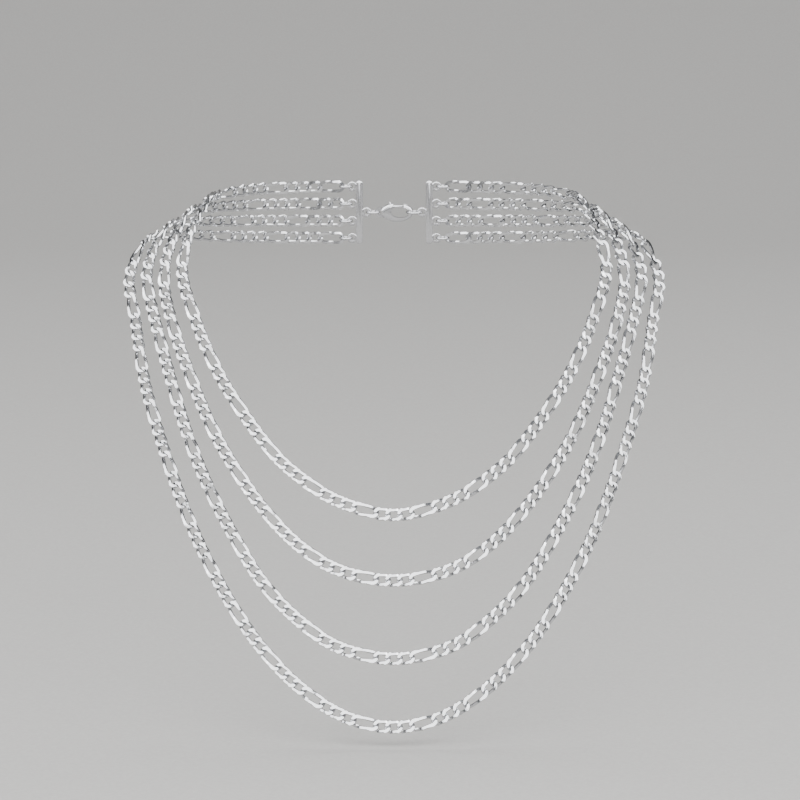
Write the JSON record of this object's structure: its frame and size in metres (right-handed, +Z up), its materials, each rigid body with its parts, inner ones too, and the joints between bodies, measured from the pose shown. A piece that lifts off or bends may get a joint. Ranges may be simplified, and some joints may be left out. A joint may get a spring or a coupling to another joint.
{
  "type": "layered chain necklace",
  "caption": "Layered necklace of figaro chains in graduated lengths, gathered on two end bars and closed by a lobster clasp, in its worn shape.",
  "frame": {"origin": "middle of the clasp, where the necklace lies on the nape of the neck", "axes": "+X to the viewer's right across the shoulders, -Y forward out of the chest, +Z up"},
  "size_m": [0.1688, 0.1091, 0.1535],
  "materials": {
    "polished_chain": "polished silver-coloured steel wire links",
    "polished_fitting": "polished silver-coloured cast and wire fittings",
    "spring_steel": "drawn spring wire"
  },
  "bodies": {
    "clasp": {"clasp_body": "polished_fitting", "clasp_rivet": "polished_fitting", "clasp_spring": "spring_steel", "clasp_ring": "polished_fitting", "catch_ring": "polished_fitting"},
    "lever": {"clasp_lever": "polished_fitting"},
    "end_bar_left": {"end_bar_left": "polished_fitting"},
    "end_bar_right": {"end_bar_right": "polished_fitting"},
    "strand_1_nape_left": {"strand_1_nape_left": "polished_chain", "strand_1_ring_left": "polished_fitting"},
    "strand_1_shoulder_left": {"strand_1_shoulder_left": "polished_chain"},
    "strand_1_collar_left": {"strand_1_collar_left": "polished_chain"},
    "strand_1_chest_left": {"strand_1_chest_left": "polished_chain"},
    "strand_1_nape_right": {"strand_1_nape_right": "polished_chain", "strand_1_ring_right": "polished_fitting"},
    "strand_1_shoulder_right": {"strand_1_shoulder_right": "polished_chain"},
    "strand_1_collar_right": {"strand_1_collar_right": "polished_chain"},
    "strand_1_chest_right": {"strand_1_chest_right": "polished_chain"},
    "strand_1_front": {"strand_1_front": "polished_chain"},
    "strand_2_nape_left": {"strand_2_nape_left": "polished_chain", "strand_2_ring_left": "polished_fitting"},
    "strand_2_shoulder_left": {"strand_2_shoulder_left": "polished_chain"},
    "strand_2_collar_left": {"strand_2_collar_left": "polished_chain"},
    "strand_2_chest_left": {"strand_2_chest_left": "polished_chain"},
    "strand_2_nape_right": {"strand_2_nape_right": "polished_chain", "strand_2_ring_right": "polished_fitting"},
    "strand_2_shoulder_right": {"strand_2_shoulder_right": "polished_chain"},
    "strand_2_collar_right": {"strand_2_collar_right": "polished_chain"},
    "strand_2_chest_right": {"strand_2_chest_right": "polished_chain"},
    "strand_2_front": {"strand_2_front": "polished_chain"},
    "strand_3_nape_left": {"strand_3_nape_left": "polished_chain", "strand_3_ring_left": "polished_fitting"},
    "strand_3_shoulder_left": {"strand_3_shoulder_left": "polished_chain"},
    "strand_3_collar_left": {"strand_3_collar_left": "polished_chain"},
    "strand_3_chest_left": {"strand_3_chest_left": "polished_chain"},
    "strand_3_nape_right": {"strand_3_nape_right": "polished_chain", "strand_3_ring_right": "polished_fitting"},
    "strand_3_shoulder_right": {"strand_3_shoulder_right": "polished_chain"},
    "strand_3_collar_right": {"strand_3_collar_right": "polished_chain"},
    "strand_3_chest_right": {"strand_3_chest_right": "polished_chain"},
    "strand_3_front": {"strand_3_front": "polished_chain"},
    "strand_4_nape_left": {"strand_4_nape_left": "polished_chain", "strand_4_ring_left": "polished_fitting"},
    "strand_4_shoulder_left": {"strand_4_shoulder_left": "polished_chain"},
    "strand_4_collar_left": {"strand_4_collar_left": "polished_chain"},
    "strand_4_chest_left": {"strand_4_chest_left": "polished_chain"},
    "strand_4_nape_right": {"strand_4_nape_right": "polished_chain", "strand_4_ring_right": "polished_fitting"},
    "strand_4_shoulder_right": {"strand_4_shoulder_right": "polished_chain"},
    "strand_4_collar_right": {"strand_4_collar_right": "polished_chain"},
    "strand_4_chest_right": {"strand_4_chest_right": "polished_chain"},
    "strand_4_front": {"strand_4_front": "polished_chain"}
  },
  "joints": [
    {"name": "clasp_lever_press", "type": "hinge", "parent": "clasp", "child": "lever", "pos_m": [-0.0013, 0, 0.00155], "axis": [0, 1, 0], "range_deg": [0, 22], "stiffness_Nm_per_rad": 0.002, "springref_deg": -5.73},
    {"name": "end_bar_left_lift", "type": "hinge", "parent": "clasp", "child": "end_bar_left", "pos_m": [-0.0086, 0, 0], "axis": [-1, 0, 0], "range_deg": [0, 20]},
    {"name": "end_bar_right_lift", "type": "hinge", "parent": "clasp", "child": "end_bar_right", "pos_m": [0.0086, 0, 0], "axis": [-1, 0, 0], "range_deg": [0, 20]},
    {"name": "strand_1_nape_left_lift", "type": "hinge", "parent": "end_bar_left", "child": "strand_1_nape_left", "pos_m": [-0.0136, 0, 0.00825], "axis": [-1, 0, 0], "range_deg": [0, 15]},
    {"name": "strand_1_shoulder_left_lift", "type": "hinge", "parent": "strand_1_nape_left", "child": "strand_1_shoulder_left", "pos_m": [-0.05491, -0.01614, 0.00749], "axis": [-1, 0, 0], "range_deg": [0, 25]},
    {"name": "strand_1_collar_left_lift", "type": "hinge", "parent": "strand_1_shoulder_left", "child": "strand_1_collar_left", "pos_m": [-0.06531, -0.03938, -0.01474], "axis": [-1, 0, 0], "range_deg": [0, 25]},
    {"name": "strand_1_chest_left_lift", "type": "hinge", "parent": "strand_1_collar_left", "child": "strand_1_chest_left", "pos_m": [-0.05129, -0.05758, -0.04636], "axis": [-1, 0, 0], "range_deg": [0, 25]},
    {"name": "strand_1_nape_right_lift", "type": "hinge", "parent": "end_bar_right", "child": "strand_1_nape_right", "pos_m": [0.0136, 0, 0.00825], "axis": [-1, 0, 0], "range_deg": [0, 15]},
    {"name": "strand_1_shoulder_right_lift", "type": "hinge", "parent": "strand_1_nape_right", "child": "strand_1_shoulder_right", "pos_m": [0.05491, -0.01614, 0.00749], "axis": [-1, 0, 0], "range_deg": [0, 25]},
    {"name": "strand_1_collar_right_lift", "type": "hinge", "parent": "strand_1_shoulder_right", "child": "strand_1_collar_right", "pos_m": [0.06531, -0.03938, -0.01474], "axis": [-1, 0, 0], "range_deg": [0, 25]},
    {"name": "strand_1_chest_right_lift", "type": "hinge", "parent": "strand_1_collar_right", "child": "strand_1_chest_right", "pos_m": [0.05129, -0.05758, -0.04636], "axis": [-1, 0, 0], "range_deg": [0, 25]},
    {"name": "strand_1_front_lift", "type": "hinge", "parent": "strand_1_chest_left", "child": "strand_1_front", "pos_m": [-0.02737, -0.07451, -0.07209], "axis": [-1, 0, 0], "range_deg": [0, 20]},
    {"name": "strand_2_nape_left_lift", "type": "hinge", "parent": "end_bar_left", "child": "strand_2_nape_left", "pos_m": [-0.0136, 0, 0.00275], "axis": [-1, 0, 0], "range_deg": [0, 15]},
    {"name": "strand_2_shoulder_left_lift", "type": "hinge", "parent": "strand_2_nape_left", "child": "strand_2_shoulder_left", "pos_m": [-0.05627, -0.01354, 0.00332], "axis": [-1, 0, 0], "range_deg": [0, 25]},
    {"name": "strand_2_collar_left_lift", "type": "hinge", "parent": "strand_2_shoulder_left", "child": "strand_2_collar_left", "pos_m": [-0.06983, -0.04084, -0.02405], "axis": [-1, 0, 0], "range_deg": [0, 25]},
    {"name": "strand_2_chest_left_lift", "type": "hinge", "parent": "strand_2_collar_left", "child": "strand_2_chest_left", "pos_m": [-0.05417, -0.06242, -0.06088], "axis": [-1, 0, 0], "range_deg": [0, 25]},
    {"name": "strand_2_nape_right_lift", "type": "hinge", "parent": "end_bar_right", "child": "strand_2_nape_right", "pos_m": [0.0136, 0, 0.00275], "axis": [-1, 0, 0], "range_deg": [0, 15]},
    {"name": "strand_2_shoulder_right_lift", "type": "hinge", "parent": "strand_2_nape_right", "child": "strand_2_shoulder_right", "pos_m": [0.05627, -0.01354, 0.00332], "axis": [-1, 0, 0], "range_deg": [0, 25]},
    {"name": "strand_2_collar_right_lift", "type": "hinge", "parent": "strand_2_shoulder_right", "child": "strand_2_collar_right", "pos_m": [0.06983, -0.04084, -0.02405], "axis": [-1, 0, 0], "range_deg": [0, 25]},
    {"name": "strand_2_chest_right_lift", "type": "hinge", "parent": "strand_2_collar_right", "child": "strand_2_chest_right", "pos_m": [0.05417, -0.06242, -0.06088], "axis": [-1, 0, 0], "range_deg": [0, 25]},
    {"name": "strand_2_front_lift", "type": "hinge", "parent": "strand_2_chest_left", "child": "strand_2_front", "pos_m": [-0.0273, -0.08248, -0.09173], "axis": [-1, 0, 0], "range_deg": [0, 20]},
    {"name": "strand_3_nape_left_lift", "type": "hinge", "parent": "end_bar_left", "child": "strand_3_nape_left", "pos_m": [-0.0136, 0, -0.00275], "axis": [-1, 0, 0], "range_deg": [0, 15]},
    {"name": "strand_3_shoulder_left_lift", "type": "hinge", "parent": "strand_3_nape_left", "child": "strand_3_shoulder_left", "pos_m": [-0.06605, -0.01829, -0.00077], "axis": [-1, 0, 0], "range_deg": [0, 25]},
    {"name": "strand_3_collar_left_lift", "type": "hinge", "parent": "strand_3_shoulder_left", "child": "strand_3_collar_left", "pos_m": [-0.07296, -0.0422, -0.03141], "axis": [-1, 0, 0], "range_deg": [0, 25]},
    {"name": "strand_3_chest_left_lift", "type": "hinge", "parent": "strand_3_collar_left", "child": "strand_3_chest_left", "pos_m": [-0.05652, -0.06742, -0.07546], "axis": [-1, 0, 0], "range_deg": [0, 25]},
    {"name": "strand_3_nape_right_lift", "type": "hinge", "parent": "end_bar_right", "child": "strand_3_nape_right", "pos_m": [0.0136, 0, -0.00275], "axis": [-1, 0, 0], "range_deg": [0, 15]},
    {"name": "strand_3_shoulder_right_lift", "type": "hinge", "parent": "strand_3_nape_right", "child": "strand_3_shoulder_right", "pos_m": [0.06605, -0.01829, -0.00077], "axis": [-1, 0, 0], "range_deg": [0, 25]},
    {"name": "strand_3_collar_right_lift", "type": "hinge", "parent": "strand_3_shoulder_right", "child": "strand_3_collar_right", "pos_m": [0.07296, -0.0422, -0.03141], "axis": [-1, 0, 0], "range_deg": [0, 25]},
    {"name": "strand_3_chest_right_lift", "type": "hinge", "parent": "strand_3_collar_right", "child": "strand_3_chest_right", "pos_m": [0.05652, -0.06742, -0.07546], "axis": [-1, 0, 0], "range_deg": [0, 25]},
    {"name": "strand_3_front_lift", "type": "hinge", "parent": "strand_3_chest_left", "child": "strand_3_front", "pos_m": [-0.02728, -0.091, -0.11281], "axis": [-1, 0, 0], "range_deg": [0, 20]},
    {"name": "strand_4_nape_left_lift", "type": "hinge", "parent": "end_bar_left", "child": "strand_4_nape_left", "pos_m": [-0.0136, 0, -0.00825], "axis": [-1, 0, 0], "range_deg": [0, 15]},
    {"name": "strand_4_shoulder_left_lift", "type": "hinge", "parent": "strand_4_nape_left", "child": "strand_4_shoulder_left", "pos_m": [-0.07232, -0.01975, -0.0046], "axis": [-1, 0, 0], "range_deg": [0, 25]},
    {"name": "strand_4_collar_left_lift", "type": "hinge", "parent": "strand_4_shoulder_left", "child": "strand_4_collar_left", "pos_m": [-0.07689, -0.04622, -0.04641], "axis": [-1, 0, 0], "range_deg": [0, 25]},
    {"name": "strand_4_chest_left_lift", "type": "hinge", "parent": "strand_4_collar_left", "child": "strand_4_chest_left", "pos_m": [-0.05878, -0.07342, -0.09258], "axis": [-1, 0, 0], "range_deg": [0, 25]},
    {"name": "strand_4_nape_right_lift", "type": "hinge", "parent": "end_bar_right", "child": "strand_4_nape_right", "pos_m": [0.0136, 0, -0.00825], "axis": [-1, 0, 0], "range_deg": [0, 15]},
    {"name": "strand_4_shoulder_right_lift", "type": "hinge", "parent": "strand_4_nape_right", "child": "strand_4_shoulder_right", "pos_m": [0.07232, -0.01975, -0.0046], "axis": [-1, 0, 0], "range_deg": [0, 25]},
    {"name": "strand_4_collar_right_lift", "type": "hinge", "parent": "strand_4_shoulder_right", "child": "strand_4_collar_right", "pos_m": [0.07689, -0.04622, -0.04641], "axis": [-1, 0, 0], "range_deg": [0, 25]},
    {"name": "strand_4_chest_right_lift", "type": "hinge", "parent": "strand_4_collar_right", "child": "strand_4_chest_right", "pos_m": [0.05878, -0.07342, -0.09258], "axis": [-1, 0, 0], "range_deg": [0, 25]},
    {"name": "strand_4_front_lift", "type": "hinge", "parent": "strand_4_chest_left", "child": "strand_4_front", "pos_m": [-0.02698, -0.09859, -0.13149], "axis": [-1, 0, 0], "range_deg": [0, 20]}
  ],
  "couplings": [
    {"joint": "end_bar_right_lift", "follows": "end_bar_left_lift", "ratio": 1},
    {"joint": "strand_1_nape_right_lift", "follows": "strand_1_nape_left_lift", "ratio": 1},
    {"joint": "strand_1_shoulder_right_lift", "follows": "strand_1_shoulder_left_lift", "ratio": 1},
    {"joint": "strand_1_collar_right_lift", "follows": "strand_1_collar_left_lift", "ratio": 1},
    {"joint": "strand_1_chest_right_lift", "follows": "strand_1_chest_left_lift", "ratio": 1},
    {"joint": "strand_2_nape_left_lift", "follows": "strand_1_nape_left_lift", "ratio": 1},
    {"joint": "strand_2_nape_right_lift", "follows": "strand_1_nape_left_lift", "ratio": 1},
    {"joint": "strand_2_shoulder_right_lift", "follows": "strand_2_shoulder_left_lift", "ratio": 1},
    {"joint": "strand_2_collar_right_lift", "follows": "strand_2_collar_left_lift", "ratio": 1},
    {"joint": "strand_2_chest_right_lift", "follows": "strand_2_chest_left_lift", "ratio": 1},
    {"joint": "strand_3_nape_left_lift", "follows": "strand_1_nape_left_lift", "ratio": 1},
    {"joint": "strand_3_nape_right_lift", "follows": "strand_1_nape_left_lift", "ratio": 1},
    {"joint": "strand_3_shoulder_right_lift", "follows": "strand_3_shoulder_left_lift", "ratio": 1},
    {"joint": "strand_3_collar_right_lift", "follows": "strand_3_collar_left_lift", "ratio": 1},
    {"joint": "strand_3_chest_right_lift", "follows": "strand_3_chest_left_lift", "ratio": 1},
    {"joint": "strand_4_nape_left_lift", "follows": "strand_1_nape_left_lift", "ratio": 1},
    {"joint": "strand_4_nape_right_lift", "follows": "strand_1_nape_left_lift", "ratio": 1},
    {"joint": "strand_4_shoulder_right_lift", "follows": "strand_4_shoulder_left_lift", "ratio": 1},
    {"joint": "strand_4_collar_right_lift", "follows": "strand_4_collar_left_lift", "ratio": 1},
    {"joint": "strand_4_chest_right_lift", "follows": "strand_4_chest_left_lift", "ratio": 1}
  ]
}
